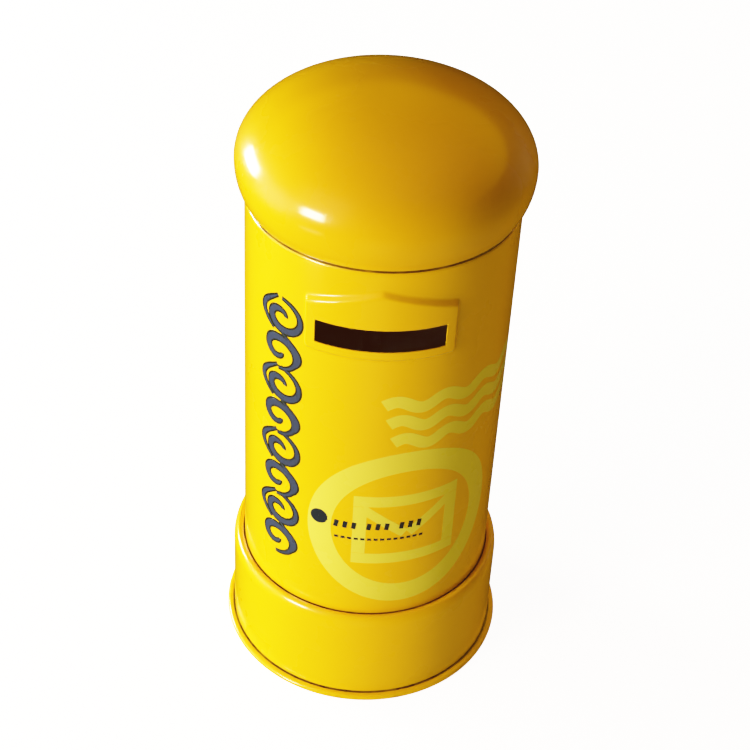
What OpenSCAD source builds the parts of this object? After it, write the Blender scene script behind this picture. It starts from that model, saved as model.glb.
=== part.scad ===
// Round tinplate money box with a mushroom lid, a hooded coin slot and a wide plinth.
// Every sheet part is one path of outer-surface points, thickened by the sheet gauge
// and turned about Z. The box stands on z = 0 and the coin slot faces -Y.

/* [Body] */
// Outer diameter of the tube
body_d = 73; // [71:0.5:75]
// Height of the tube that shows between the plinth and the lid
body_h = 122.1; // [110:0.1:130]
// Thickness of the tinplate
sheet_t = 0.3; // [0.25:0.01:0.32]
// Tube radius of the curl round the mouth
curl_r = 1.2; // [1:0.1:1.4]

/* [Lid] */
// How far the lid swells beyond the body, on the radius
lid_swell = 2.7; // [1.5:0.1:4]
// Height of the widest ring above the seam
lid_belly_h = 10; // [8:0.5:12]
// Height of the dome above the seam
lid_h = 28.8; // [25:0.1:32]
// How deep the plug reaches into the mouth
plug_depth = 7.3; // [6:0.1:10]

/* [Plinth] */
// Height from the table to the seam between plinth and body
plinth_h = 31.4; // [26:0.2:38]
// How far the plinth wall stands out from the body
plinth_gap = 3.2; // [2.6:0.1:3.6]
// How far the seamed rim stands out from the plinth wall
rim_reach = 2.1; // [2:0.1:2.6]

/* [Coin slot] */
// Width of the slot, straight across
slot_w = 33.7; // [28:0.1:35]
// Height of the slot
slot_h = 7; // [5:0.5:8]
// Distance from the lid seam down to the top of the slot
slot_drop = 17.4; // [16:0.1:21]
// How far the hood is pressed out of the wall
hood_press = 1.2; // [0.8:0.1:1.6]

/* [Hidden] */
$fn = 180;

body_r = body_d / 2;
seam_z = plinth_h + body_h;

// Curves of the dome: exponents above the belly, and the centre radius below it
dome_wide_exp = 2.55;
dome_tall_exp = 2;
dome_steps = 28;
belly_r = body_r + lid_swell;
under_centre_r = 0.8 * body_r;
lip_r = body_r - 0.2;
lip_w = 1.3;

// The plug drops into the mouth with this clearance
plug_clearance = 0.15;
plug_r = body_r - 2 * curl_r - plug_clearance;
plug_corner_r = 1.5;
plug_flange_bend_r = 0.5;
plug_flange_r = lip_r - 0.5;

// The mouth curl stops just short of the lid's lip
lip_gap = 0.1;
curl_z = seam_z - lip_gap - curl_r;
curl_leg = 0.8;

// Seamed rim at the foot: base plate outside, plinth flange and body hook inside
rim_h = 2;
rim_bend_r = rim_h / 2;
plinth_r = body_r + plinth_gap;
rim_r = plinth_r + rim_reach;
rim_bend_c = rim_r - rim_bend_r;
hem_in_r = plinth_r + 0.4;
plinth_flange_z = rim_h - sheet_t;
hook_top_z = plinth_flange_z - sheet_t;
hook_in_r = (hook_top_z - sheet_t) / 2 - sheet_t;
hook_z = sheet_t + (hook_top_z - sheet_t) / 2;
hook_c = rim_bend_c - 0.5;

// Shoulder of the plinth: tucked in tight on the body, then a longer curve out to the wall
shoulder_in_r = body_r + 0.05;
shoulder_half_w = (plinth_r - shoulder_in_r) / 2;
shoulder_c = shoulder_in_r + shoulder_half_w;
shoulder_top_z = plinth_h + shoulder_half_w;
shoulder_drop = 4;
shoulder_tuck = 20;
shoulder_steps = 14;

// Sunk base plate with one stiffening step
panel_z = 3;
well_gap = 0.3;
well_r = body_r - 2 * sheet_t - well_gap;
well_foot_r = 0.9;
well_top_r = 0.6;
step_r = 27;
step_run = 1.5;
step_rise = 0.8;

// Hood: flat sides, a level foot and a gabled top, all seen square on
hood_w = 38.6;
hood_eaves_z = seam_z - 11.6;
hood_gable = 5.7;
hood_foot_z = seam_z - slot_drop - slot_h - 4;
hood_pitch = atan(hood_gable / (hood_w / 2));
hood_reach = 10;

// Side seam: folded strip inside the tube at the back
side_seam_w = 5;
side_seam_t = 0.75;
side_seam_foot = 4;

// Points on an arc about [x, y], from angle a to angle b
function arc(x, y, r, a, b, steps = 8) =
    [for (i = [0:steps])
        let (t = a + (b - a) * i / steps)
        [x + r * cos(t), y + r * sin(t)]];

// Unit vector pointing to the right of the way from p to q
function right_of(p, q) =
    let (d = (q - p) / norm(q - p))
    [d[1], -d[0]];

// Mitre vector at point i of a path, one unit thick on either side of the corner
function mitre(path, i) =
    let (
        last = len(path) - 1,
        before = right_of(path[max(i - 1, 0)], path[max(i, 1)]),
        after = right_of(path[min(i, last - 1)], path[min(i + 1, last)])
    )
    (before + after) / (1 + before * after);

// The other face of a sheet that lies to the right of its path
function far_face(path, t) =
    [for (i = [0:len(path) - 1])
        let (p = path[i] + t * mitre(path, i))
        [max(p[0], 0), p[1]]];

function reversed(list) = [for (i = [len(list) - 1:-1:0]) list[i]];

module sheet_ring(path) {
    rotate_extrude()
        polygon(concat(path, reversed(far_face(path, sheet_t))));
}

// Dome from the crown out to the belly
function dome_top() =
    [for (i = [0:dome_steps - 1])
        let (t = 90 * (1 - i / dome_steps))
        [belly_r * pow(cos(t), 2 / dome_wide_exp),
         seam_z + lid_belly_h + (lid_h - lid_belly_h) * pow(sin(t), 2 / dome_tall_exp)]];

// Underside from the belly in to the lip
function dome_under() =
    let (
        reach = belly_r - under_centre_r,
        lip_angle = acos((lip_r - under_centre_r) / reach),
        fall = lid_belly_h / sin(lip_angle)
    )
    [for (i = [0:10])
        let (u = lip_angle * i / 10)
        [under_centre_r + reach * cos(u), seam_z + lid_belly_h - fall * sin(u)]];

module lid_dome() {
    color("gold")
        sheet_ring(concat(
            dome_top(),
            dome_under(),
            [[lip_r - lip_w, seam_z]]
        ));
}

module lid_plug() {
    flange_z = seam_z + sheet_t;
    floor_z = seam_z - plug_depth;
    color("silver")
        sheet_ring(concat(
            [[plug_flange_r, flange_z]],
            arc(plug_r + plug_flange_bend_r, flange_z - plug_flange_bend_r,
                plug_flange_bend_r, 90, 180),
            arc(plug_r - plug_corner_r, floor_z + plug_corner_r,
                plug_corner_r, 0, -90),
            [[0, floor_z]]
        ));
}

// Tube with the curled mouth and the hook that the base seam holds
module body_tube() {
    bend_r = 0.6;
    bend_z = sheet_t * 2 + bend_r;
    sheet_ring(concat(
        [[body_r - 2 * curl_r, curl_z - curl_leg]],
        arc(body_r - curl_r, curl_z, curl_r, 180, 0, 16),
        arc(body_r + bend_r, bend_z, bend_r, 180, 270),
        arc(hook_c, hook_z, hook_in_r, -90, 90),
        [[hem_in_r - 0.3, hook_top_z - sheet_t]]
    ));
}

module side_seam() {
    intersection() {
        difference() {
            translate([0, 0, side_seam_foot])
                cylinder(r = body_r - sheet_t / 2, h = curl_z - curl_r - side_seam_foot);
            cylinder(r = body_r - sheet_t - side_seam_t, h = seam_z);
        }
        translate([-side_seam_w / 2, 0, 0])
            cube([side_seam_w, body_r, seam_z]);
    }
}

// Front view of the hood, drawn smaller by inset all round
module hood_outline(inset) {
    half_w = hood_w / 2 - inset;
    foot_z = hood_foot_z + inset;
    ridge_z = hood_eaves_z + hood_gable - inset / cos(hood_pitch);
    eaves_z = ridge_z - half_w * tan(hood_pitch);
    polygon([
        [-half_w, foot_z],
        [half_w, foot_z],
        [half_w, eaves_z],
        [0, ridge_z],
        [-half_w, eaves_z]
    ]);
}

// Everything in front of the axis plane that lies inside the hood's outline
module hood_prism(inset) {
    translate([0, -body_r + hood_reach, 0])
        rotate([90, 0, 0])
            linear_extrude(2 * hood_reach)
                hood_outline(inset);
}

module hood_block(r, inset) {
    intersection() {
        translate([0, 0, hood_foot_z])
            cylinder(r = r, h = seam_z - hood_foot_z);
        hood_prism(inset);
    }
}

module hood_panel() {
    difference() {
        hood_block(body_r + hood_press, 0);
        translate([0, 0, hood_foot_z - 1])
            cylinder(r = body_r - sheet_t, h = seam_z - hood_foot_z + 2);
    }
}

module slot_cut() {
    translate([-slot_w / 2, -body_r - hood_reach, seam_z - slot_drop - slot_h])
        cube([slot_w, 2 * hood_reach, slot_h]);
}

module body_shell() {
    color("khaki")
        difference() {
            union() {
                body_tube();
                side_seam();
                hood_panel();
            }
            hood_block(body_r + hood_press - sheet_t, sheet_t);
            slot_cut();
        }
}

// Outer quarter of the shoulder, from its top down to the wall
function shoulder_side() =
    [for (i = [1:shoulder_steps])
        let (t = 90 * (1 - i / shoulder_steps))
        [shoulder_c + shoulder_half_w * cos(t),
         shoulder_top_z - shoulder_drop * (1 - sin(t))]];

module plinth_shell() {
    bend_r = sheet_t;
    color("orange")
        sheet_ring(concat(
            arc(shoulder_c, plinth_h, shoulder_half_w, 180 + shoulder_tuck, 90, shoulder_steps),
            shoulder_side(),
            arc(plinth_r + bend_r, plinth_flange_z + bend_r, bend_r, 180, 270),
            [[rim_bend_c - 0.1, plinth_flange_z]]
        ));
}

module base_plate() {
    color("tan")
        sheet_ring(concat(
            [[hem_in_r, rim_h]],
            arc(rim_bend_c, rim_bend_r, rim_bend_r, 90, -90, 12),
            arc(well_r + well_foot_r, well_foot_r, well_foot_r, 270, 180),
            arc(well_r - well_top_r, panel_z - well_top_r, well_top_r, 0, 90),
            [[step_r, panel_z],
             [step_r - step_run, panel_z + step_rise],
             [0, panel_z + step_rise]]
        ));
}

lid_dome();
lid_plug();
body_shell();
plinth_shell();
base_plate();
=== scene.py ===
"""Looks of the round tin money box: smooth pressed sheets, printed decoration, enamel and bare tin.

Shapes are drawn in millimetres in the CAD frame; a mesh is in metres, and so are floor, light
and camera. Angles round the box are in degrees from the coin slot, positive to the right of it.
"""
import math

import bmesh
import bpy
import numpy as np
from mathutils import Matrix, Vector


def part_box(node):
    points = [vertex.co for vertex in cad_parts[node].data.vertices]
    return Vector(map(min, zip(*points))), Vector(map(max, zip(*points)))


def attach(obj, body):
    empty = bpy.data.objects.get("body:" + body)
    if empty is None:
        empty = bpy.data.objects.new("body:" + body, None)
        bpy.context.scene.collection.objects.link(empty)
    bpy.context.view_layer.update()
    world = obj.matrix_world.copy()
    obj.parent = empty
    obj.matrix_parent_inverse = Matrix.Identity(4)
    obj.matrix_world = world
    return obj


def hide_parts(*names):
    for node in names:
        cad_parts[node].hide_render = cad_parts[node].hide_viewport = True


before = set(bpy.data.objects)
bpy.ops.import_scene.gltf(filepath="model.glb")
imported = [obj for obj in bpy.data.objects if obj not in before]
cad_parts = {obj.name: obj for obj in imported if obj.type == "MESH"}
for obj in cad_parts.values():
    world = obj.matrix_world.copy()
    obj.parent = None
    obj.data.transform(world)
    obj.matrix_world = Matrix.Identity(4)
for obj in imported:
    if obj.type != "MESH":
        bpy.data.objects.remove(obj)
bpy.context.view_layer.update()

MM = 0.001


def box_mm(node):
    """Lowest and highest corner of a CAD node, in millimetres."""
    low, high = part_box(node)
    return low / MM, high / MM


# Sizes that the CAD boxes give
DOME_LOW, DOME_HIGH = box_mm("lid_dome")
PLUG_LOW, PLUG_HIGH = box_mm("lid_plug")
BASE_HIGH = box_mm("base_plate")[1]

# Sizes that the CAD source states and its boxes don't show
BODY_R = 36.5
SHEET_T = 0.3
SEAM_Z = DOME_LOW.z
BELLY_R = DOME_HIGH.x
BELLY_H = 10
LID_H = DOME_HIGH.z - SEAM_Z
LIP_R = BODY_R - 0.2
LIP_W = 1.3
UNDER_CENTRE_R = 0.8 * BODY_R
DOME_WIDE_EXP = 2.55
DOME_TALL_EXP = 2
CURL_R = 1.2
PLUG_R = 33.95
PLINTH_R = BODY_R + 3.2
PLINTH_Z = 31.4
SHOULDER_DROP = 4
RIM_R = BASE_HIGH.x
RIM_H = 2
PANEL_Z = 3
WELL_R = 35.6
SLOT_W = 33.7
SLOT_H = 7
SLOT_TOP_Z = SEAM_Z - 17.4
SLOT_FOOT_Z = SLOT_TOP_Z - SLOT_H
HOOD_PRESS = 1.2
SLOT_HALF_ANGLE = math.degrees(math.asin(SLOT_W / 2 / (BODY_R + HOOD_PRESS)))

# Outline of the hood along the wall, where its slope starts to rise
HOOD_HALF_W = 20.7
HOOD_EAVES_Z = SEAM_Z - 11.3
HOOD_GABLE = 5.8
HOOD_FOOT_Z = SLOT_FOOT_Z - 4
RIDGE_SOFT = 0.6

# Width of the hood's slope on each edge, and how softly the slopes meet, as a share of it
HOOD_SIDE_SLOPE = 1.5
HOOD_TOP_SLOPE = 2.1
HOOD_FOOT_SLOPE = 2.2
HOOD_TOP_BLEND = 0.45
HOOD_FOOT_BLEND = 0.7

# Folded side seam at the back, angles in degrees: a fold line outside, a thicker strip inside
BACK = 180
FOLD_OFF = 1.5
FOLD_W = 0.4
FOLD_DEPTH = 0.13
STRIP_HALF_ANGLE = 4.2
STRIP_FADE = 0.5
STRIP_T = 0.75


# ---------------------------------------------------------------- paths of the sheets

def arc(x, y, r, start, end, steps):
    """Points on an arc about (x, y), angles in degrees."""
    angles = np.radians(np.linspace(start, end, steps + 1))
    return [(x + r * math.cos(a), y + r * math.sin(a)) for a in angles]


def line(start, end, steps):
    """Points from start up to, but not including, end."""
    return [tuple(np.array(start) + (np.array(end) - start) * i / steps) for i in range(steps)]


def far_face(path, thickness):
    """The other face of a sheet that lies to the right of its path."""
    points = np.array(path, float)
    step = np.diff(points, axis=0)
    step /= np.linalg.norm(step, axis=1)[:, None]
    right = np.stack([step[:, 1], -step[:, 0]], axis=1)
    before = np.vstack([right[:1], right])
    after = np.vstack([right, right[-1:]])
    mitre = (before + after) / (1 + (before * after).sum(axis=1))[:, None]
    other = points + thickness * mitre
    other[:, 0] = np.maximum(other[:, 0], 0)
    return other


def dome_path():
    """Lid from the crown over the belly to the edge turned in above the mouth."""
    crown = []
    for t in np.radians(np.linspace(90, 0, 61))[:-1]:
        wide = max(math.cos(t), 0) ** (2 / DOME_WIDE_EXP)
        tall = math.sin(t) ** (2 / DOME_TALL_EXP)
        crown.append((BELLY_R * wide, SEAM_Z + BELLY_H + (LID_H - BELLY_H) * tall))
    reach = BELLY_R - UNDER_CENTRE_R
    lip_angle = math.acos((LIP_R - UNDER_CENTRE_R) / reach)
    fall = BELLY_H / math.sin(lip_angle)
    under = [
        (UNDER_CENTRE_R + reach * math.cos(u), SEAM_Z + BELLY_H - fall * math.sin(u))
        for u in np.linspace(0, lip_angle, 25)
    ]
    return crown + under + [(LIP_R - LIP_W, SEAM_Z)]


def plug_path():
    """Pan inside the lid: flange, skirt and a floor with one stiffening step."""
    flange_z = SEAM_Z + SHEET_T
    floor_z = PLUG_LOW.z
    bend_r = 0.5
    corner_r = 1.5
    step_out = 28
    step_in = 27
    panel_z = floor_z + 0.5
    return (
        [(PLUG_HIGH.x, flange_z)]
        + arc(PLUG_R + bend_r, flange_z - bend_r, bend_r, 90, 180, 6)
        + arc(PLUG_R - corner_r, floor_z + corner_r, corner_r, 0, -90, 10)
        + [(step_out, floor_z), (step_in, panel_z), (0, panel_z)]
    )


def body_path():
    """Tube from the inner end of the mouth curl down to the hook in the base seam."""
    lip_gap = 0.1
    curl_z = SEAM_Z - lip_gap - CURL_R
    curl_leg = 0.8
    bend_r = 0.6
    wall_foot = 2 * bend_r
    hook_c = RIM_R - 1.5
    hook_z = 0.85
    hook_r = 0.25
    hood_top = HOOD_EAVES_Z + HOOD_GABLE + 1
    hood_foot = HOOD_FOOT_Z - 1
    wall = (
        line((BODY_R, curl_z), (BODY_R, hood_top), 3)
        + line((BODY_R, hood_top), (BODY_R, SLOT_TOP_Z), 50)
        + line((BODY_R, SLOT_TOP_Z), (BODY_R, SLOT_FOOT_Z), 20)
        + line((BODY_R, SLOT_FOOT_Z), (BODY_R, hood_foot), 20)
        + line((BODY_R, hood_foot), (BODY_R, wall_foot), 30)
    )
    return (
        [(BODY_R - 2 * CURL_R, curl_z - curl_leg)]
        + arc(BODY_R - CURL_R, curl_z, CURL_R, 180, 0, 24)
        + wall[1:]
        + arc(BODY_R + bend_r, wall_foot, bend_r, 180, 270, 6)
        + arc(hook_c, hook_z, hook_r, -90, 90, 8)
        + [(PLINTH_R + 0.1, hook_z + hook_r)]
    )


def plinth_path():
    """Plinth from the shoulder that closes on the tube down to the flange in the base seam."""
    gap = 0.05
    tuck = 20
    half_w = (PLINTH_R - BODY_R - gap) / 2
    centre = BODY_R + gap + half_w
    top_z = PLINTH_Z + half_w
    side = [
        (centre + half_w * math.cos(t), top_z - SHOULDER_DROP * (1 - math.sin(t)))
        for t in np.radians(np.linspace(90, 0, 29))[1:]
    ]
    flange_z = RIM_H - SHEET_T
    flange_r = RIM_R - 1.1
    return (
        arc(centre, PLINTH_Z, half_w, 180 + tuck, 90, 24)
        + side
        + line((PLINTH_R, top_z - SHOULDER_DROP - 1), (PLINTH_R, flange_z + 0.5), 10)
        + arc(PLINTH_R + SHEET_T, flange_z + SHEET_T, SHEET_T, 180, 270, 6)
        + [(flange_r, flange_z)]
    )


def base_path():
    """Base plate from the rolled rim down, across the foot and up into the sunk panel."""
    bend_r = RIM_H / 2
    well_foot_r = 0.9
    well_top_r = 0.6
    step_out = 27.3
    step_in = 25.2
    step_z = BASE_HIGH.z - SHEET_T
    soft_r = 0.4
    soft_z = 0.1
    step = [
        (step_out, PANEL_Z),
        (step_out - soft_r, PANEL_Z + soft_z),
        (step_in + soft_r, step_z - soft_z),
        (step_in, step_z),
    ]
    return (
        [(PLINTH_R + 0.4, RIM_H)]
        + arc(RIM_R - bend_r, bend_r, bend_r, 90, -90, 24)
        + arc(WELL_R + well_foot_r, well_foot_r, well_foot_r, 270, 180, 8)
        + arc(WELL_R - well_top_r, PANEL_Z - well_top_r, well_top_r, 0, 90, 8)
        + step
        + [(0, step_z)]
    )


# ---------------------------------------------------------------- meshes

# Vertices this near are one, in metres; edges that turn further than this, in degrees, stay crisp
SAME_POINT = 1e-7
SHARP_ANGLE = 38


def around(radius, angle, z):
    """Point at a radius and an angle from the coin slot, in millimetres."""
    a = math.radians(angle)
    return (radius * math.sin(a), -radius * math.cos(a), z)


def new_piece(name, points, faces, slots, materials, body):
    """Makes a smooth mesh from points in millimetres, gives it its materials and ties it to its CAD
    body.

    slots gives each face the number of its material in materials.
    """
    mesh = bpy.data.meshes.new(name)
    mesh.from_pydata([Vector(p) * MM for p in points], [], faces)
    for material in materials:
        mesh.materials.append(material)
    mesh.polygons.foreach_set("material_index", slots)
    shape = bmesh.new()
    shape.from_mesh(mesh)
    bmesh.ops.remove_doubles(shape, verts=shape.verts, dist=SAME_POINT)
    bmesh.ops.recalc_face_normals(shape, faces=shape.faces)
    shape.to_mesh(mesh)
    shape.free()
    mesh.shade_smooth()
    mesh.set_sharp_from_angle(angle=math.radians(SHARP_ANGLE))
    piece = bpy.data.objects.new(name, mesh)
    bpy.context.scene.collection.objects.link(piece)
    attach(piece, body)
    return piece


def closed_sheet(outer, inner, is_open):
    """Points and faces of a sheet turned all the way round, with walls round its openings.

    outer and inner are rows of points; is_open(row, column) says which cells are cut away.
    Returns points, faces and one material number a face: 0 outside and edges, 1 inside.
    """
    rows, columns = len(outer), len(outer[0])
    points = [p for row in outer for p in row] + [p for row in inner for p in row]
    inside = rows * columns
    faces, slots = [], []

    def at(row, column):
        return row * columns + column % columns

    def add(corners, slot):
        faces.append(corners)
        slots.append(slot)

    def wall(a, b):
        add((a, b, b + inside, a + inside), 0)

    gone = [[is_open(i, j) for j in range(columns)] for i in range(rows - 1)]
    for i in range(rows - 1):
        for j in range(columns):
            if gone[i][j]:
                continue
            a, b, c, d = at(i, j), at(i, j + 1), at(i + 1, j + 1), at(i + 1, j)
            add((a, b, c, d), 0)
            add((d + inside, c + inside, b + inside, a + inside), 1)
            if i == 0 or gone[i - 1][j]:
                wall(b, a)
            if i == rows - 2 or gone[i + 1][j]:
                wall(d, c)
            if gone[i][j - 1]:
                wall(a, d)
            if gone[i][(j + 1) % columns]:
                wall(c, b)
    return points, faces, slots


def turned_sheet(name, path, materials, body, steps=256):
    """A sheet part that is the same all the way round."""
    angles = [360 * i / steps for i in range(steps)]
    outer = [[around(r, a, z) for a in angles] for r, z in path]
    inner = [[around(r, a, z) for a in angles] for r, z in far_face(path, SHEET_T)]
    points, faces, slots = closed_sheet(outer, inner, lambda i, j: False)
    return new_piece(name, points, faces, slots, materials, body)


def soft_step(x):
    """0 below 0, 1 above 1, with a level start and end."""
    x = min(max(x, 0), 1)
    return x * x * x * (x * (6 * x - 15) + 10)


def smooth_min(a, b, blend):
    """The smaller of a and b, rounded where they meet."""
    h = max(blend - abs(a - b), 0) / blend
    return min(a, b) - h * h * blend / 4


def hood_rise(angle, z):
    """How far the pressed hood stands out of the wall at an angle and a height."""
    across = math.radians(angle) * BODY_R
    fall = HOOD_GABLE / HOOD_HALF_W
    roof_z = HOOD_EAVES_Z + HOOD_GABLE - fall * (math.hypot(across, RIDGE_SOFT) - RIDGE_SOFT)
    from_side = (HOOD_HALF_W - abs(across)) / HOOD_SIDE_SLOPE
    from_top = (roof_z - z) * math.cos(math.atan(fall)) / HOOD_TOP_SLOPE
    from_foot = (z - HOOD_FOOT_Z) / HOOD_FOOT_SLOPE
    upper = smooth_min(from_side, from_top, HOOD_TOP_BLEND)
    return HOOD_PRESS * soft_step(smooth_min(upper, from_foot, HOOD_FOOT_BLEND))


def body_angles():
    """Columns round the tube: fine over the hood and the side seam, even elsewhere."""
    hood_end = 36
    seam_start = BACK - 6
    seam_end = BACK + 6
    slot = np.linspace(-SLOT_HALF_ANGLE, SLOT_HALF_ANGLE, 100)
    edge = np.linspace(SLOT_HALF_ANGLE, hood_end, 26)[1:]
    side = np.linspace(hood_end, seam_start, 82)[1:]
    back = np.linspace(seam_start, seam_end, 37)[1:]
    return np.concatenate([-edge[::-1], slot, edge, side, back, 360 - side[::-1][1:]])


def side_seam_groove(angle):
    """Depth of the fold line that shows outside on the side seam."""
    off = (angle - BACK - FOLD_OFF) / FOLD_W
    return FOLD_DEPTH * math.exp(-off * off)


def side_seam_strip(angle):
    """Extra thickness of the folded strip inside."""
    return STRIP_T * soft_step((STRIP_HALF_ANGLE - abs(angle - BACK)) / STRIP_FADE)


def make_body(materials):
    """Tube with the curled mouth, the pressed hood, the cut slot and the folded side seam."""
    path = np.array(body_path())
    inner_path = far_face(path, SHEET_T)
    tolerance = 1e-6
    on_wall = np.abs(path[:, 0] - BODY_R) < tolerance
    angles = body_angles()
    strip_low = 4
    strip_high = SEAM_Z - 3
    outer, inner = [], []
    for (r, z), (r_in, z_in), wall in zip(path, inner_path, on_wall):
        outer_row, inner_row = [], []
        for angle in angles:
            rise = hood_rise(angle, z) if wall else 0
            groove = side_seam_groove(angle) if wall else 0
            strip = side_seam_strip(angle) if wall and strip_low < z < strip_high else 0
            outer_row.append(around(r + rise - groove, angle, z))
            inner_row.append(around(r_in + rise - groove - strip, angle, z_in))
        outer.append(outer_row)
        inner.append(inner_row)

    def in_slot(i, j):
        z = (path[i][1] + path[i + 1][1]) / 2
        angle = (angles[j] + angles[(j + 1) % len(angles)]) / 2
        return on_wall[i] and SLOT_FOOT_Z < z < SLOT_TOP_Z and abs(angle) < SLOT_HALF_ANGLE

    points, faces, slots = closed_sheet(outer, inner, in_slot)
    return new_piece("body_tube", points, faces, slots, materials, "box")


# ---------------------------------------------------------------- printed decoration

# How far ink reaches into the wall, and how much each of three layers lies above the last
INK_ROOT = 0.06
INK_STEP = 0.004
INK_LAYERS = 3


class Print:
    """Ink shapes on the tube, drawn as ribbons in (distance round, height) coordinates."""

    def __init__(self, proud):
        self.points = []
        self.faces = []
        self.proud = proud
        self.layers = 0

    def ribbon(self, path, widths, closed=False, across=4):
        """Adds a ribbon along path, across cells wide."""
        path = np.array(path, float)
        widths = np.broadcast_to(widths, len(path))
        ahead = np.roll(path, -1, axis=0) - path
        if closed:
            way = ahead / np.linalg.norm(ahead, axis=1)[:, None]
            way = way + np.roll(way, 1, axis=0)
        else:
            way = np.gradient(path, axis=0)
        way /= np.linalg.norm(way, axis=1)[:, None]
        side = np.stack([way[:, 1], -way[:, 0]], axis=1)
        share = np.linspace(-0.5, 0.5, across + 1)
        grid = path[:, None] + side[:, None] * (widths[:, None] * share)[:, :, None]
        self.slab(grid, closed)

    def slab(self, grid, closed):
        """Adds a thin closed slab over a grid of points."""
        rows, columns = grid.shape[:2]
        first = len(self.points)
        proud = self.proud + INK_STEP * (self.layers % INK_LAYERS)
        self.layers += 1
        for radius in (BODY_R + proud, BODY_R - INK_ROOT):
            for s, z in grid.reshape(-1, 2):
                self.points.append(around(radius, math.degrees(s / BODY_R), z))
        under = rows * columns

        def at(i, j):
            return first + (i % rows) * columns + j

        last_row = rows if closed else rows - 1
        for i in range(last_row):
            for j in range(columns - 1):
                a, b, c, d = at(i, j), at(i, j + 1), at(i + 1, j + 1), at(i + 1, j)
                self.faces.append((a, b, c, d))
                self.faces.append((d + under, c + under, b + under, a + under))
            for j, (p, q) in ((0, (0, 1)), (columns - 1, (1, 0))):
                a, b = at(i + p, j), at(i + q, j)
                self.faces.append((a, b, b + under, a + under))
        if not closed:
            for i, (p, q) in ((0, (1, 0)), (rows - 1, (0, 1))):
                for j in range(columns - 1):
                    a, b = at(i, j + p), at(i, j + q)
                    self.faces.append((a, b, b + under, a + under))

    def make(self, name, material):
        """Turns the ribbons into one piece of ink on the tube."""
        slots = [0] * len(self.faces)
        return new_piece(name, self.points, self.faces, slots, [material], "box")


def circle(s, z, radius, steps=120):
    """Closed path round a point on the tube."""
    turn = np.linspace(0, 2 * math.pi, steps, endpoint=False)
    return np.stack([s + radius * np.cos(turn), z + radius * np.sin(turn)], axis=1)


def polyline(corners, spacing=0.8):
    """Points along straight stretches between corners."""
    points = []
    for start, end in zip(corners[:-1], corners[1:]):
        start, end = np.array(start, float), np.array(end, float)
        steps = max(2, round(np.linalg.norm(end - start) / spacing))
        points += [start + (end - start) * i / steps for i in range(steps)]
    return np.array(points + [np.array(corners[-1], float)])


def swelling(count, thin, thick):
    """Stroke widths that swell from thin ends to a thick middle."""
    return thin + (thick - thin) * np.sin(np.linspace(0, math.pi, count))


def spiral(s, z, start, turns, outer, inner, steps=70):
    """Path that winds in about a point; start in degrees, outer and inner are (wide, tall) radii."""
    share = np.linspace(0, 1, steps)[:, None]
    angle = math.radians(start) + 2 * math.pi * turns * share[:, 0]
    radius = np.array(outer) + (np.array(inner) - np.array(outer)) * share
    return np.array([s, z]) + radius * np.stack([np.cos(angle), np.sin(angle)], axis=1)


def wave(s_low, s_high, z, swing, waves, steps=120):
    """Level wavy path."""
    share = np.linspace(0, 1, steps)
    height = z + swing * np.sin(2 * math.pi * waves * share)
    return np.stack([s_low + (s_high - s_low) * share, height], axis=1)


def print_scroll(extra, proud):
    """Upright running scroll of leaves and curls on the left of the tube, extra wider all round."""
    ink = Print(proud)
    curls = 8
    s_mid = -28.6
    z_foot = SEAM_Z - 107
    z_head = SEAM_Z - 17
    pitch = (z_head - z_foot) / curls
    turns = 1.2
    curl_shift = 0.6
    curl_out = (7.4, 5.9)
    curl_in = (1.6, 1.3)
    curl_stroke = (0.3, 1.9)
    leaf_share = np.linspace(-0.45, 0.55, 30)
    leaf_shift = 1.6
    leaf_swing = 5.0
    leaf_stroke = (0.2, 1.2)
    for k in range(curls):
        way = 1 if k % 2 else -1
        start = 90 if k % 2 else 270
        z = z_foot + pitch * (k + 0.5)
        curl = spiral(s_mid + way * curl_shift, z, start, -way * turns, curl_out, curl_in)
        ink.ribbon(curl, swelling(len(curl), *curl_stroke) + extra)
        leaf_s = s_mid - way * (leaf_shift + leaf_swing * np.cos(leaf_share * math.pi))
        leaf = np.stack([leaf_s, z + pitch * leaf_share], axis=1)
        ink.ribbon(leaf, swelling(len(leaf), *leaf_stroke) + extra)
    return ink


def print_emblem():
    """Pale envelope inside a ring, with three wavy lines above, like a cancelled stamp."""
    ink = Print(0.02)
    s_mid = 10.5
    z_mid = SEAM_Z - 88
    ring_r = 24.9
    ring_w = 7.0
    ink.ribbon(circle(s_mid, z_mid, ring_r), ring_w, closed=True, across=6)

    half_w = 13.4
    half_h = 8.8
    stroke = 3.8
    overlap = 0.6
    low = z_mid - half_h
    high = z_mid + half_h
    left = s_mid - half_w
    right = s_mid + half_w
    for side in (left, right):
        ink.ribbon(polyline([(side, low), (side, high)]), stroke)
    for edge, out in ((low, -1), (high, 1)):
        z = edge + out * (stroke / 2 + 0.1)
        ink.ribbon(polyline([(left - stroke / 2, z), (right + stroke / 2, z)]), stroke)
    flap_z = z_mid - 1.5
    for side, way in ((left, 1), (right, -1)):
        corner = (side + way * overlap, high - overlap)
        tip = (s_mid - way * overlap, flap_z)
        ink.ribbon(polyline([corner, tip]), stroke * 0.8)

    top_z = SEAM_Z - 43
    row_drop = 6.4
    row_indent = 1.5
    swing = 1.3
    waves = 3.5
    for row in range(3):
        path = wave(2 + row_indent * row, 50, top_z - row_drop * row, swing, waves)
        ink.ribbon(path, stroke)
    return ink


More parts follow.
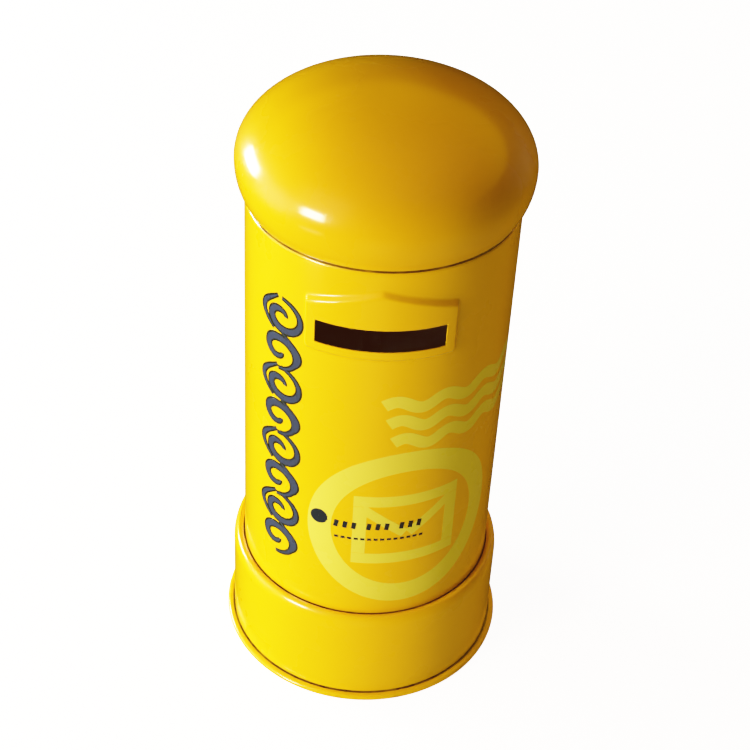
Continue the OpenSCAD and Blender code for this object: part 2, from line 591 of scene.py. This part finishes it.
def print_marks():
    """Round spot with two rows of short dashes beside it."""
    ink = Print(0.05)
    spot_s = math.radians(-22.7) * BODY_R
    spot_z = SEAM_Z - 85.5
    spot_r = 1.3
    spot_stroke = 2.5
    ink.ribbon(circle(spot_s, spot_z, spot_r, 48), spot_stroke, closed=True)

    spacing = 0.4
    bar_s = -9.6
    bar_z = SEAM_Z - 87.7
    bar_h = 2.4
    bar_lean = 0.35
    bar_w = 1.25
    group_pitch = 9.2
    bar_pitch = 2.5
    for group in range(3):
        for k in range(3):
            s = bar_s + group * group_pitch + k * bar_pitch
            bar = polyline([(s, bar_z), (s + bar_lean, bar_z + bar_h)], spacing)
            ink.ribbon(bar, bar_w)

    dash_s = -9.8
    dash_z = SEAM_Z - 91.4
    dash_pitch = 1.85
    dash_l = 1.15
    dash_h = 0.8
    for k in range(14):
        s = dash_s + k * dash_pitch
        ink.ribbon(polyline([(s, dash_z), (s + dash_l, dash_z)], spacing), dash_h)
    return ink


# ---------------------------------------------------------------- materials

# Each enamel or ink mottles between its colour and its shade
YELLOW = (0.86, 0.466, 0.0002, 1)
YELLOW_SHADE = (0.84, 0.450, 0.0002, 1)
LID_YELLOW = (0.80, 0.410, 0.0002, 1)
LID_SHADE = (0.78, 0.396, 0.0002, 1)
PALE_YELLOW = (0.80, 0.70, 0.07, 1)
PALE_SHADE = (0.78, 0.68, 0.06, 1)
OLIVE = (0.007, 0.013, 0.004, 1)
OLIVE_SHADE = (0.006, 0.011, 0.004, 1)
SLATE = (0.022, 0.036, 0.080, 1)
SLATE_SHADE = (0.019, 0.031, 0.070, 1)
NAVY = (0.003, 0.013, 0.022, 1)
NAVY_SHADE = (0.003, 0.011, 0.019, 1)
# Dark brown painted into the seams as the shade of their crevices
SEAM_SHADE = (0.045, 0.012, 0.002, 1)
STAIN = (0.16, 0.055, 0.006, 1)
TIN_DARK = (0.70, 0.67, 0.60, 1)
TIN_LIGHT = (0.82, 0.80, 0.74, 1)
FLOOR_DARK = (0.90, 0.90, 0.90, 1)
FLOOR_LIGHT = (0.92, 0.92, 0.92, 1)


class Tree:
    """Short way to build the node tree of a material or a world round its shader."""

    def __init__(self, owner, shader):
        owner.use_nodes = True
        self.nodes = owner.node_tree.nodes
        self.links = owner.node_tree.links
        self.shader = self.nodes[shader]

    def add(self, kind, inputs=None, **settings):
        """Adds a node; inputs maps socket names or numbers to values or other sockets."""
        node = self.nodes.new(kind)
        for name, value in settings.items():
            setattr(node, name, value)
        for name, value in (inputs or {}).items():
            self.set(node, name, value)
        return node

    def set(self, node, name, value):
        """Links another socket to an input, or writes a value on it."""
        if isinstance(value, bpy.types.NodeSocket):
            self.links.new(value, node.inputs[name])
        else:
            node.inputs[name].default_value = value

    def place(self):
        """Place on the object at rest."""
        return self.add("ShaderNodeTexCoord").outputs["Object"]

    def height(self):
        """Height above the table."""
        return self.add("ShaderNodeSeparateXYZ", {0: self.place()}).outputs["Z"]

    def radius(self):
        """Distance from the axis of the box."""
        inputs = {0: self.place(), 1: (1, 1, 0)}
        level = self.add("ShaderNodeVectorMath", inputs, operation="MULTIPLY").outputs[0]
        return self.add("ShaderNodeVectorMath", {0: level}, operation="LENGTH").outputs["Value"]

    def from_ring(self, radius, height):
        """Distance from a ring round the axis, radius and height in millimetres."""
        out = self.math("SUBTRACT", self.radius(), radius * MM)
        up = self.math("SUBTRACT", self.height(), height * MM)
        offset = self.add("ShaderNodeCombineXYZ", {0: out, 1: up}).outputs[0]
        return self.add("ShaderNodeVectorMath", {0: offset}, operation="LENGTH").outputs["Value"]

    def noise(self, scale, detail=2, stretch=None):
        """Noise over the object, scale in patches a metre."""
        place = self.place()
        if stretch:
            place = self.add("ShaderNodeMapping", {"Vector": place, "Scale": stretch}).outputs[0]
        inputs = {"Vector": place, "Scale": scale, "Detail": detail}
        return self.add("ShaderNodeTexNoise", inputs).outputs["Fac"]

    def remap(self, value, low, high, to_low, to_high, smooth=False):
        """Maps the range from low to high onto to_low to to_high, held at both ends."""
        inputs = {"Value": value, 1: low, 2: high, 3: to_low, 4: to_high}
        style = "SMOOTHSTEP" if smooth else "LINEAR"
        return self.add("ShaderNodeMapRange", inputs, interpolation_type=style).outputs[0]

    def math(self, operation, a, b):
        """One operation on two values or sockets."""
        return self.add("ShaderNodeMath", {0: a, 1: b}, operation=operation).outputs[0]

    def mix(self, share, a, b):
        """Colour that goes from a to b as share goes from 0 to 1."""
        inputs = {0: share, 6: a, 7: b}
        return self.add("ShaderNodeMix", inputs, data_type="RGBA").outputs[2]

    def bump(self, height, distance, strength):
        """Surface direction tilted by a height, distance in metres."""
        inputs = {"Height": height, "Distance": distance, "Strength": strength}
        return self.add("ShaderNodeBump", inputs).outputs[0]


def material_tree(name):
    """New material and its tree."""
    material = bpy.data.materials.new(name)
    return material, Tree(material, "Principled BSDF")


def painted_seam_shade(tree, rings):
    """Mask of the painted shade in the crevice round each ring, given as (radius, height, reach)."""
    total = 0.0
    for radius, height, reach in rings:
        away = tree.from_ring(radius, height)
        # Painted shade, darkest in the crevice and fading out over the reach
        crevice_shade = tree.remap(away, 0.7 * reach * MM, reach * MM, 1.0, 0.0, smooth=True)
        total = tree.math("MAXIMUM", total, crevice_shade)
    patchy = tree.remap(tree.noise(scale=160, detail=3), 0.3, 0.6, 0.7, 1.0)
    return tree.math("MULTIPLY", total, patchy)


def rubbed_spots(tree, radius, height, reach):
    """Mask of the small stains where a ring that stands proud gets knocked and rubbed."""
    near = tree.remap(tree.from_ring(radius, height), 0.0, reach * MM, 1.0, 0.0, smooth=True)
    spots = tree.remap(tree.noise(scale=130, detail=5), 0.56, 0.66, 0.0, 0.75)
    return tree.math("MULTIPLY", near, spots)


def enamel(name, colour, shade, seams=(), rubbed=None):
    """Glossy baked enamel: slight mottling, orange peel, smudges, painted seam shade and rubbed spots.

    seams lists rings that get painted shade and rubbed is one ring with stains, each (radius, height,
    reach).
    """
    material, tree = material_tree(name)
    mottle = tree.remap(tree.noise(scale=22, detail=3), 0.35, 0.65, 0.0, 1.0)
    base = tree.mix(mottle, colour, shade)
    if rubbed:
        base = tree.mix(rubbed_spots(tree, *rubbed), base, STAIN)
    if seams:
        # Painted shade darkens the enamel along the seams
        base = tree.mix(painted_seam_shade(tree, seams), base, SEAM_SHADE)
    smudge = tree.remap(tree.noise(scale=48, detail=4), 0.35, 0.75, 0.24, 0.36)
    peel = tree.bump(tree.noise(scale=620, detail=1), distance=0.00002, strength=0.25)
    tree.set(tree.shader, "Base Color", base)
    tree.set(tree.shader, "Roughness", smudge)
    tree.set(tree.shader, "Normal", peel)
    tree.shader.inputs["Specular IOR Level"].default_value = 0.1
    tree.shader.inputs["Coat Weight"].default_value = 1.0
    tree.shader.inputs["Coat Roughness"].default_value = 0.15
    tree.shader.inputs["Coat IOR"].default_value = 1.7
    return material


def bare_tin(name):
    """Rolled tinplate with its faint grain and a warm clear lacquer."""
    material, tree = material_tree(name)
    grain = tree.noise(scale=90, detail=5, stretch=(1, 1, 14))
    tree.set(tree.shader, "Base Color", tree.mix(grain, TIN_DARK, TIN_LIGHT))
    tree.set(tree.shader, "Roughness", tree.remap(grain, 0.3, 0.7, 0.28, 0.46))
    tree.set(tree.shader, "Normal", tree.bump(grain, distance=0.00003, strength=0.3))
    tree.shader.inputs["Metallic"].default_value = 0.85
    return material


def plain_floor():
    """Pale floor that glows a little, so that it stays white in any light."""
    material, tree = material_tree("pale_floor")
    tone = tree.remap(tree.noise(scale=3), 0.3, 0.7, 0.0, 1.0)
    tree.set(tree.shader, "Base Color", tree.mix(tone, FLOOR_DARK, FLOOR_LIGHT))
    tree.shader.inputs["Roughness"].default_value = 0.9
    tree.shader.inputs["Specular IOR Level"].default_value = 0.0
    tree.shader.inputs["Emission Color"].default_value = (1, 1, 1, 1)
    tree.shader.inputs["Emission Strength"].default_value = 1.6
    return material


# ---------------------------------------------------------------- the pieces

# Rings that get painted seam shade, or where the edge rubs: radius, height and reach
lip_seam = (LIP_R, SEAM_Z - 0.2, 0.5)
plinth_seam = (BODY_R, PLINTH_Z + 0.7, 0.6)
rim_seam = (PLINTH_R + 0.2, RIM_H, 0.45)
rim_edge = (RIM_R, RIM_H / 2, 0.9)

tin = bare_tin("bare_tin")
lid_yellow = enamel("lid_enamel", LID_YELLOW, LID_SHADE, [lip_seam])
body_yellow = enamel("body_enamel", YELLOW, YELLOW_SHADE, [lip_seam, plinth_seam])
plinth_yellow = enamel("plinth_enamel", YELLOW, YELLOW_SHADE, [plinth_seam, rim_seam])
base_yellow = enamel("base_enamel", YELLOW, YELLOW_SHADE, [rim_seam], rim_edge)
pale_ink = enamel("pale_ink", PALE_YELLOW, PALE_SHADE)
olive_ink = enamel("olive_ink", OLIVE, OLIVE_SHADE)
slate_ink = enamel("slate_ink", SLATE, SLATE_SHADE)
navy_ink = enamel("navy_ink", NAVY, NAVY_SHADE)

dome = turned_sheet("dome", dome_path(), [lid_yellow, tin], "lid")
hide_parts("lid_dome")
plug = turned_sheet("plug_pan", plug_path(), [tin, tin], "lid")
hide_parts("lid_plug")
tube = make_body([body_yellow, tin])
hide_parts("body_shell")
plinth = turned_sheet("plinth", plinth_path(), [plinth_yellow, tin], "box")
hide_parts("plinth_shell")
base = turned_sheet("base", base_path(), [base_yellow, tin], "box")
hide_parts("base_plate")

print_scroll(extra=1.1, proud=0.02).make("print_scroll_edge", olive_ink)
print_scroll(extra=0, proud=0.05).make("print_scroll", slate_ink)
print_emblem().make("print_emblem", pale_ink)
print_marks().make("print_marks", navy_ink)


# ---------------------------------------------------------------- floor, light and camera

# Radius and height of the floor and the wall that it runs up into, in metres
FLOOR_PATH = [(0, 0), (4, 0), (4.6, 0.15), (5, 0.6), (5.1, 1.2), (5.1, 8)]


def add_floor():
    """Wide pale floor that runs up into a wall all round, seen only by the camera."""
    steps = 48
    points, faces = [], []
    for radius, height in FLOOR_PATH:
        for k in range(steps):
            turn = 2 * math.pi * k / steps
            points.append((radius * math.cos(turn), radius * math.sin(turn), height))
    for i in range(len(FLOOR_PATH) - 1):
        for k in range(steps):
            a, b = i * steps + k, i * steps + (k + 1) % steps
            faces.append((a, b, b + steps, a + steps))
    mesh = bpy.data.meshes.new("floor")
    mesh.from_pydata(points, [], faces)
    mesh.materials.append(plain_floor())
    floor = bpy.data.objects.new("floor", mesh)
    bpy.context.scene.collection.objects.link(floor)
    floor.visible_glossy = False
    floor.visible_diffuse = False
    floor.visible_shadow = False


# Colours of the lights, and of the room that the gloss mirrors
WINDOW = (1, 1, 0.7)
PLAIN = (1, 1, 1)
WARM = (1, 0.57, 0.3)
SAND = (1, 0.64, 0.3)
LEMON = (1, 1, 0.1)
AMBER = (1, 0.68, 0.08)
ORANGE = (1.0, 0.50, 0.0, 1)

# Height on the axis that every light faces, in metres
AIM_Z = 0.1


def add_softbox(name, turn, distance, size, watts, colour, shows=True):
    """Rectangular light aimed at the box.

    turn is its azimuth, 0 in front of the slot and positive right, and its elevation, in
    degrees. size is width and height. Only a light that shows is mirrored in the gloss.
    """
    azimuth, elevation = np.radians(turn)
    data = bpy.data.lights.new(name, "AREA")
    data.shape = "RECTANGLE"
    data.size, data.size_y = size
    data.energy = watts
    data.color = colour
    light = bpy.data.objects.new(name, data)
    bpy.context.scene.collection.objects.link(light)
    flat = math.cos(elevation)
    back = Vector((math.sin(azimuth) * flat, -math.cos(azimuth) * flat, math.sin(elevation)))
    light.location = Vector((0, 0, AIM_Z)) + back * distance
    light.visible_glossy = shows
    light.visible_camera = False
    light.rotation_mode = "QUATERNION"
    light.rotation_quaternion = (-back).to_track_quat("-Z", "Y")


def add_room(colour, strength):
    """Warm ceiling that only shows as a reflection: it starts behind the box and fades overhead."""
    world = bpy.data.worlds.new("room")
    bpy.context.scene.world = world
    tree = Tree(world, "Background")
    way = tree.add("ShaderNodeTexCoord").outputs["Generated"]
    axes = tree.add("ShaderNodeSeparateXYZ", {0: way}).outputs
    above = tree.remap(axes["Z"], 0.40, 0.46, 0.0, 1.0, smooth=True)
    behind = tree.remap(axes["Y"], -0.6, 0.6, 0.0, 1.0, smooth=True)
    glow = tree.math("MULTIPLY", above, behind)
    tree.set(tree.shader, "Color", colour)
    tree.set(tree.shader, "Strength", tree.math("MULTIPLY", glow, strength))
    world.cycles_visibility.diffuse = False


def add_camera(azimuth, reach, height, down, roll, view_angle, aside):
    """Camera at a height and a level distance (reach) from the axis, looking down and rolled.

    Angles are in degrees. aside is how far left the box moves, as a share of the picture's width.
    """
    a = math.radians(azimuth)
    ahead = Vector((-math.sin(a), math.cos(a), 0))
    across = Vector((math.cos(a), math.sin(a), 0))
    pitch = math.radians(down)
    look = ahead * math.cos(pitch) - Vector((0, 0, 1)) * math.sin(pitch)
    up = across.cross(look)
    tilt = math.radians(roll)
    right = across * math.cos(tilt) + up * math.sin(tilt)
    up = right.cross(look)
    data = bpy.data.cameras.new("camera")
    data.sensor_width = 36
    data.lens = data.sensor_width / 2 / math.tan(math.radians(view_angle) / 2)
    data.shift_x = aside
    data.clip_start = 0.01
    data.clip_end = 20
    camera = bpy.data.objects.new("camera", data)
    bpy.context.scene.collection.objects.link(camera)
    turn = Matrix((right, up, -look)).transposed().to_4x4()
    place = -ahead * reach + Vector((0, 0, height))
    camera.matrix_world = Matrix.Translation(place) @ turn
    bpy.context.scene.camera = camera


# Warm light that the film adds in the dark, as a level below black
FILM_FOG = (-0.012, -0.003, -0.0015)


def add_film_response(reach, steepness):
    """Film-like curve from scene light to the picture: steep shadows and a soft shoulder.

    reach is the scene light that comes out white.
    """
    view = bpy.context.scene.view_settings
    view.view_transform = "Standard"
    view.use_curve_mapping = True
    curve = view.curve_mapping
    curve.black_level = FILM_FOG
    curve.white_level = (reach, reach, reach)
    points = curve.curves[3].points
    for share in (0.03, 0.07, 0.12, 0.18, 0.26, 0.36, 0.5, 0.7):
        rise = (1 - math.exp(-steepness * share)) / (1 - math.exp(-steepness))
        points.new(share, rise)
    curve.update()


add_floor()
add_room(ORANGE, strength=0.85)
add_softbox("back_window", turn=(-116, 7), distance=0.9, size=(0.30, 0.20), watts=10, colour=WINDOW)
add_softbox("side_window", turn=(-51, 7.5), distance=0.9, size=(0.24, 0.22), watts=5, colour=WINDOW)
add_softbox(
    "table_glint", turn=(-53, -18.6), distance=0.29, size=(0.07, 0.026), watts=0.006, colour=WINDOW
)
add_softbox(
    "left_fill", turn=(-88, 0), distance=1.2, size=(0.7, 0.7), watts=16.5, colour=PLAIN, shows=False
)
add_softbox(
    "warm_fill", turn=(-50, 30), distance=1.2, size=(0.7, 0.7), watts=7.5, colour=WARM, shows=False
)
add_softbox(
    "low_fill", turn=(-5, -28), distance=0.3, size=(0.12, 0.12), watts=0.12, colour=LEMON, shows=False
)
add_softbox(
    "back_fill", turn=(130, 0), distance=1.2, size=(0.7, 0.7), watts=6.5, colour=SAND, shows=False
)
add_softbox("ceiling", turn=(0, 90), distance=1.9, size=(3, 3), watts=5.2, colour=WARM, shows=False)
add_softbox(
    "table_bounce", turn=(0, -90), distance=0.6, size=(1.6, 1.6), watts=10.2, colour=AMBER, shows=False
)
add_camera(
    azimuth=-1.94, reach=0.3817, height=0.4014, down=39.09, roll=3.3, view_angle=24.37, aside=0.0015
)
add_film_response(reach=2.6, steepness=4.95)
